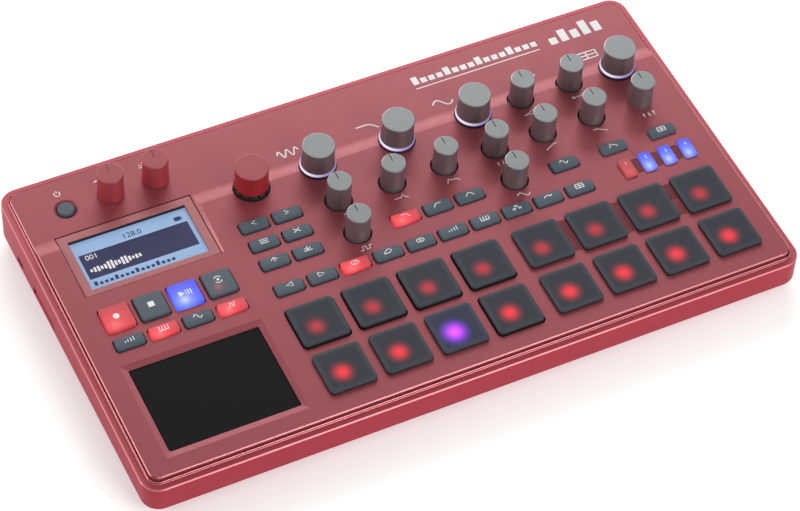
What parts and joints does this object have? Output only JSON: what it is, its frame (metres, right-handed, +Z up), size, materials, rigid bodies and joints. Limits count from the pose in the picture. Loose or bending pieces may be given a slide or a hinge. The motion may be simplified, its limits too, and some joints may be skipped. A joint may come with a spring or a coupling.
{
  "type": "electronic drum pad",
  "caption": "Desktop drum machine with pressure pads, turning knobs, soft keys, a touch pad and a small display on a sloping metal box.",
  "frame": {"origin": "on the table, under the middle of the case", "axes": "+X to the player's right, +Y to the rear, +Z up"},
  "size_m": [0.339, 0.188, 0.0447],
  "materials": {
    "case_red": "satin red paint on metal",
    "panel_red": "satin red paint on metal, fine grain",
    "bezel_red": "satin red plastic",
    "door_red": "satin red plastic",
    "touch_black": "smooth black, satin",
    "lcd_blue": "backlit pale blue display",
    "board_green": "circuit board",
    "socket_black": "moulded black plastic",
    "foot_rubber": "soft matte rubber",
    "pad_rubber": "dark slate silicone rubber, fine matte grain",
    "key_rubber": "dark slate silicone rubber",
    "knob_grey": "dark grey plastic with a satin metal cap",
    "knob_red": "satin red plastic"
  },
  "bodies": {
    "case": {"bottom_case": "case_red", "control_board": "board_green", "display_bezel": "bezel_red", "display_module": "lcd_blue", "foot_front_left": "foot_rubber", "foot_front_right": "foot_rubber", "foot_rear_left": "foot_rubber", "foot_rear_right": "foot_rubber", "output_sockets": "socket_black", "rear_jack_board": "socket_black", "top_panel": "panel_red", "touch_plate": "touch_black"},
    "battery_door": {"battery_door": "door_red"},
    "volume_knob": {"volume_knob": "knob_red"},
    "value_encoder": {"value_encoder": "knob_red"},
    "sound_encoder": {"sound_encoder": "knob_grey"},
    "resonance_knob": {"resonance_knob": "knob_grey"},
    "pad_lower_3": {"pad_lower_3": "pad_rubber"},
    "pad_upper_8": {"pad_upper_8": "pad_rubber"},
    "play_button": {"play_button": "key_rubber"},
    "record_button": {"record_button": "key_rubber"},
    "power_button": {"power_button": "key_rubber"},
    "menu_keypad": {"menu_keypad": "key_rubber"},
    "mode_keypad": {"mode_keypad": "key_rubber"},
    "bar_keypad": {"bar_keypad": "key_rubber"},
    "filter_keypad": {"filter_keypad": "key_rubber"},
    "touch_keypad": {"touch_keypad": "key_rubber"},
    "mod_send_key": {"mod_send_key": "key_rubber"},
    "amp_env_key": {"amp_env_key": "key_rubber"},
    "effect_on_key": {"effect_on_key": "key_rubber"},
    "stop_button": {"stop_button": "key_rubber"},
    "tap_button": {"tap_button": "key_rubber"},
    "input_level_knob": {"input_level_knob": "knob_red"},
    "pitch_knob": {"pitch_knob": "knob_grey"},
    "filter_env_knob": {"filter_env_knob": "knob_grey"},
    "mod_depth_knob": {"mod_depth_knob": "knob_grey"},
    "attack_knob": {"attack_knob": "knob_grey"},
    "decay_knob": {"decay_knob": "knob_grey"},
    "effect_edit_knob": {"effect_edit_knob": "knob_grey"},
    "sound_edit_knob": {"sound_edit_knob": "knob_grey"},
    "mod_speed_knob": {"mod_speed_knob": "knob_grey"},
    "level_knob": {"level_knob": "knob_grey"},
    "pan_knob": {"pan_knob": "knob_grey"},
    "filter_encoder": {"filter_encoder": "knob_grey"},
    "modulation_encoder": {"modulation_encoder": "knob_grey"},
    "effect_encoder": {"effect_encoder": "knob_grey"},
    "pad_lower_1": {"pad_lower_1": "pad_rubber"},
    "pad_lower_2": {"pad_lower_2": "pad_rubber"},
    "pad_lower_4": {"pad_lower_4": "pad_rubber"},
    "pad_lower_5": {"pad_lower_5": "pad_rubber"},
    "pad_lower_6": {"pad_lower_6": "pad_rubber"},
    "pad_lower_7": {"pad_lower_7": "pad_rubber"},
    "pad_lower_8": {"pad_lower_8": "pad_rubber"},
    "pad_upper_1": {"pad_upper_1": "pad_rubber"},
    "pad_upper_2": {"pad_upper_2": "pad_rubber"},
    "pad_upper_3": {"pad_upper_3": "pad_rubber"},
    "pad_upper_4": {"pad_upper_4": "pad_rubber"},
    "pad_upper_5": {"pad_upper_5": "pad_rubber"},
    "pad_upper_6": {"pad_upper_6": "pad_rubber"},
    "pad_upper_7": {"pad_upper_7": "pad_rubber"}
  },
  "joints": [
    {"name": "battery_door_slide", "type": "slide", "parent": "case", "child": "battery_door", "axis": [0, -1, 0], "range_m": [0, 0.008]},
    {"name": "volume_knob_turn", "type": "hinge", "parent": "case", "child": "volume_knob", "pos_m": [-0.1191, 0.072, 0.02895], "axis": [0, -0.0436, 0.999], "range_deg": [-150, 150]},
    {"name": "value_encoder_turn", "type": "hinge", "parent": "case", "child": "value_encoder", "pos_m": [-0.0563, 0.04795, 0.0294], "axis": [0, -0.0436, 0.999], "continuous": true},
    {"name": "sound_encoder_turn", "type": "hinge", "parent": "case", "child": "sound_encoder", "pos_m": [-0.0213, 0.04795, 0.0294], "axis": [0, -0.0436, 0.999], "continuous": true},
    {"name": "resonance_knob_turn", "type": "hinge", "parent": "case", "child": "resonance_knob", "pos_m": [0.0072, 0.02398, 0.02835], "axis": [0, -0.0436, 0.999], "range_deg": [-150, 150]},
    {"name": "pad_lower_3_press", "type": "slide", "parent": "case", "child": "pad_lower_3", "axis": [0, 0.0436, -0.999], "range_m": [0, 0.001], "stiffness_N_per_m": 300, "springref_m": -0.001},
    {"name": "pad_upper_8_press", "type": "slide", "parent": "case", "child": "pad_upper_8", "axis": [0, 0.0436, -0.999], "range_m": [0, 0.001], "stiffness_N_per_m": 300, "springref_m": -0.001},
    {"name": "play_button_press", "type": "slide", "parent": "case", "child": "play_button", "axis": [0, 0.0436, -0.999], "range_m": [0, 0.0008], "stiffness_N_per_m": 250, "springref_m": -0.001},
    {"name": "record_button_press", "type": "slide", "parent": "case", "child": "record_button", "axis": [0, 0.0436, -0.999], "range_m": [0, 0.0008], "stiffness_N_per_m": 250, "springref_m": -0.001},
    {"name": "power_button_press", "type": "slide", "parent": "case", "child": "power_button", "axis": [0, 0.0436, -0.999], "range_m": [0, 0.0008], "stiffness_N_per_m": 250, "springref_m": -0.001},
    {"name": "menu_keypad_press", "type": "slide", "parent": "case", "child": "menu_keypad", "axis": [0, 0.0436, -0.999], "range_m": [0, 0.0008], "stiffness_N_per_m": 250, "springref_m": -0.001},
    {"name": "mode_keypad_press", "type": "slide", "parent": "case", "child": "mode_keypad", "axis": [0, 0.0436, -0.999], "range_m": [0, 0.0008], "stiffness_N_per_m": 250, "springref_m": -0.001},
    {"name": "bar_keypad_press", "type": "slide", "parent": "case", "child": "bar_keypad", "axis": [0, 0.0436, -0.999], "range_m": [0, 0.0008], "stiffness_N_per_m": 250, "springref_m": -0.001},
    {"name": "filter_keypad_press", "type": "slide", "parent": "case", "child": "filter_keypad", "axis": [0, 0.0436, -0.999], "range_m": [0, 0.0008], "stiffness_N_per_m": 250, "springref_m": -0.001},
    {"name": "touch_keypad_press", "type": "slide", "parent": "case", "child": "touch_keypad", "axis": [0, 0.0436, -0.999], "range_m": [0, 0.0008], "stiffness_N_per_m": 250, "springref_m": -0.001},
    {"name": "mod_send_key_press", "type": "slide", "parent": "case", "child": "mod_send_key", "axis": [0, 0.0436, -0.999], "range_m": [0, 0.0008], "stiffness_N_per_m": 250, "springref_m": -0.001},
    {"name": "amp_env_key_press", "type": "slide", "parent": "case", "child": "amp_env_key", "axis": [0, 0.0436, -0.999], "range_m": [0, 0.0008], "stiffness_N_per_m": 250, "springref_m": -0.001},
    {"name": "effect_on_key_press", "type": "slide", "parent": "case", "child": "effect_on_key", "axis": [0, 0.0436, -0.999], "range_m": [0, 0.0008], "stiffness_N_per_m": 250, "springref_m": -0.001},
    {"name": "stop_button_press", "type": "slide", "parent": "case", "child": "stop_button", "axis": [0, 0.0436, -0.999], "range_m": [0, 0.0008], "stiffness_N_per_m": 250, "springref_m": -0.001},
    {"name": "tap_button_press", "type": "slide", "parent": "case", "child": "tap_button", "axis": [0, 0.0436, -0.999], "range_m": [0, 0.0008], "stiffness_N_per_m": 250, "springref_m": -0.001},
    {"name": "input_level_knob_turn", "type": "hinge", "parent": "case", "child": "input_level_knob", "pos_m": [-0.096, 0.072, 0.02895], "axis": [0, -0.0436, 0.999], "range_deg": [-150, 150]},
    {"name": "pitch_knob_turn", "type": "hinge", "parent": "case", "child": "pitch_knob", "pos_m": [-0.0213, 0.02398, 0.02835], "axis": [0, -0.0436, 0.999], "range_deg": [-150, 150]},
    {"name": "filter_env_knob_turn", "type": "hinge", "parent": "case", "child": "filter_env_knob", "pos_m": [0.0352, 0.02398, 0.02835], "axis": [0, -0.0436, 0.999], "range_deg": [-150, 150]},
    {"name": "mod_depth_knob_turn", "type": "hinge", "parent": "case", "child": "mod_depth_knob", "pos_m": [0.0627, 0.02398, 0.02835], "axis": [0, -0.0436, 0.999], "range_deg": [-150, 150]},
    {"name": "attack_knob_turn", "type": "hinge", "parent": "case", "child": "attack_knob", "pos_m": [0.0892, 0.02398, 0.02835], "axis": [0, -0.0436, 0.999], "range_deg": [-150, 150]},
    {"name": "decay_knob_turn", "type": "hinge", "parent": "case", "child": "decay_knob", "pos_m": [0.1164, 0.02398, 0.02835], "axis": [0, -0.0436, 0.999], "range_deg": [-150, 150]},
    {"name": "effect_edit_knob_turn", "type": "hinge", "parent": "case", "child": "effect_edit_knob", "pos_m": [0.1435, 0.02398, 0.02835], "axis": [0, -0.0436, 0.999], "range_deg": [-150, 150]},
    {"name": "sound_edit_knob_turn", "type": "hinge", "parent": "case", "child": "sound_edit_knob", "pos_m": [-0.0213, 0.0025, 0.02741], "axis": [0, -0.0436, 0.999], "range_deg": [-150, 150]},
    {"name": "mod_speed_knob_turn", "type": "hinge", "parent": "case", "child": "mod_speed_knob", "pos_m": [0.0627, 0.0025, 0.02741], "axis": [0, -0.0436, 0.999], "range_deg": [-150, 150]},
    {"name": "level_knob_turn", "type": "hinge", "parent": "case", "child": "level_knob", "pos_m": [0.0892, 0.04795, 0.0294], "axis": [0, -0.0436, 0.999], "range_deg": [-150, 150]},
    {"name": "pan_knob_turn", "type": "hinge", "parent": "case", "child": "pan_knob", "pos_m": [0.1164, 0.04795, 0.0294], "axis": [0, -0.0436, 0.999], "range_deg": [-150, 150]},
    {"name": "filter_encoder_turn", "type": "hinge", "parent": "case", "child": "filter_encoder", "pos_m": [0.0212, 0.04795, 0.0294], "axis": [0, -0.0436, 0.999], "continuous": true},
    {"name": "modulation_encoder_turn", "type": "hinge", "parent": "case", "child": "modulation_encoder", "pos_m": [0.0627, 0.04795, 0.0294], "axis": [0, -0.0436, 0.999], "continuous": true},
    {"name": "effect_encoder_turn", "type": "hinge", "parent": "case", "child": "effect_encoder", "pos_m": [0.1435, 0.04795, 0.0294], "axis": [0, -0.0436, 0.999], "continuous": true},
    {"name": "pad_lower_1_press", "type": "slide", "parent": "case", "child": "pad_lower_1", "axis": [0, 0.0436, -0.999], "range_m": [0, 0.001], "stiffness_N_per_m": 300, "springref_m": -0.001},
    {"name": "pad_lower_2_press", "type": "slide", "parent": "case", "child": "pad_lower_2", "axis": [0, 0.0436, -0.999], "range_m": [0, 0.001], "stiffness_N_per_m": 300, "springref_m": -0.001},
    {"name": "pad_lower_4_press", "type": "slide", "parent": "case", "child": "pad_lower_4", "axis": [0, 0.0436, -0.999], "range_m": [0, 0.001], "stiffness_N_per_m": 300, "springref_m": -0.001},
    {"name": "pad_lower_5_press", "type": "slide", "parent": "case", "child": "pad_lower_5", "axis": [0, 0.0436, -0.999], "range_m": [0, 0.001], "stiffness_N_per_m": 300, "springref_m": -0.001},
    {"name": "pad_lower_6_press", "type": "slide", "parent": "case", "child": "pad_lower_6", "axis": [0, 0.0436, -0.999], "range_m": [0, 0.001], "stiffness_N_per_m": 300, "springref_m": -0.001},
    {"name": "pad_lower_7_press", "type": "slide", "parent": "case", "child": "pad_lower_7", "axis": [0, 0.0436, -0.999], "range_m": [0, 0.001], "stiffness_N_per_m": 300, "springref_m": -0.001},
    {"name": "pad_lower_8_press", "type": "slide", "parent": "case", "child": "pad_lower_8", "axis": [0, 0.0436, -0.999], "range_m": [0, 0.001], "stiffness_N_per_m": 300, "springref_m": -0.001},
    {"name": "pad_upper_1_press", "type": "slide", "parent": "case", "child": "pad_upper_1", "axis": [0, 0.0436, -0.999], "range_m": [0, 0.001], "stiffness_N_per_m": 300, "springref_m": -0.001},
    {"name": "pad_upper_2_press", "type": "slide", "parent": "case", "child": "pad_upper_2", "axis": [0, 0.0436, -0.999], "range_m": [0, 0.001], "stiffness_N_per_m": 300, "springref_m": -0.001},
    {"name": "pad_upper_3_press", "type": "slide", "parent": "case", "child": "pad_upper_3", "axis": [0, 0.0436, -0.999], "range_m": [0, 0.001], "stiffness_N_per_m": 300, "springref_m": -0.001},
    {"name": "pad_upper_4_press", "type": "slide", "parent": "case", "child": "pad_upper_4", "axis": [0, 0.0436, -0.999], "range_m": [0, 0.001], "stiffness_N_per_m": 300, "springref_m": -0.001},
    {"name": "pad_upper_5_press", "type": "slide", "parent": "case", "child": "pad_upper_5", "axis": [0, 0.0436, -0.999], "range_m": [0, 0.001], "stiffness_N_per_m": 300, "springref_m": -0.001},
    {"name": "pad_upper_6_press", "type": "slide", "parent": "case", "child": "pad_upper_6", "axis": [0, 0.0436, -0.999], "range_m": [0, 0.001], "stiffness_N_per_m": 300, "springref_m": -0.001},
    {"name": "pad_upper_7_press", "type": "slide", "parent": "case", "child": "pad_upper_7", "axis": [0, 0.0436, -0.999], "range_m": [0, 0.001], "stiffness_N_per_m": 300, "springref_m": -0.001}
  ]
}
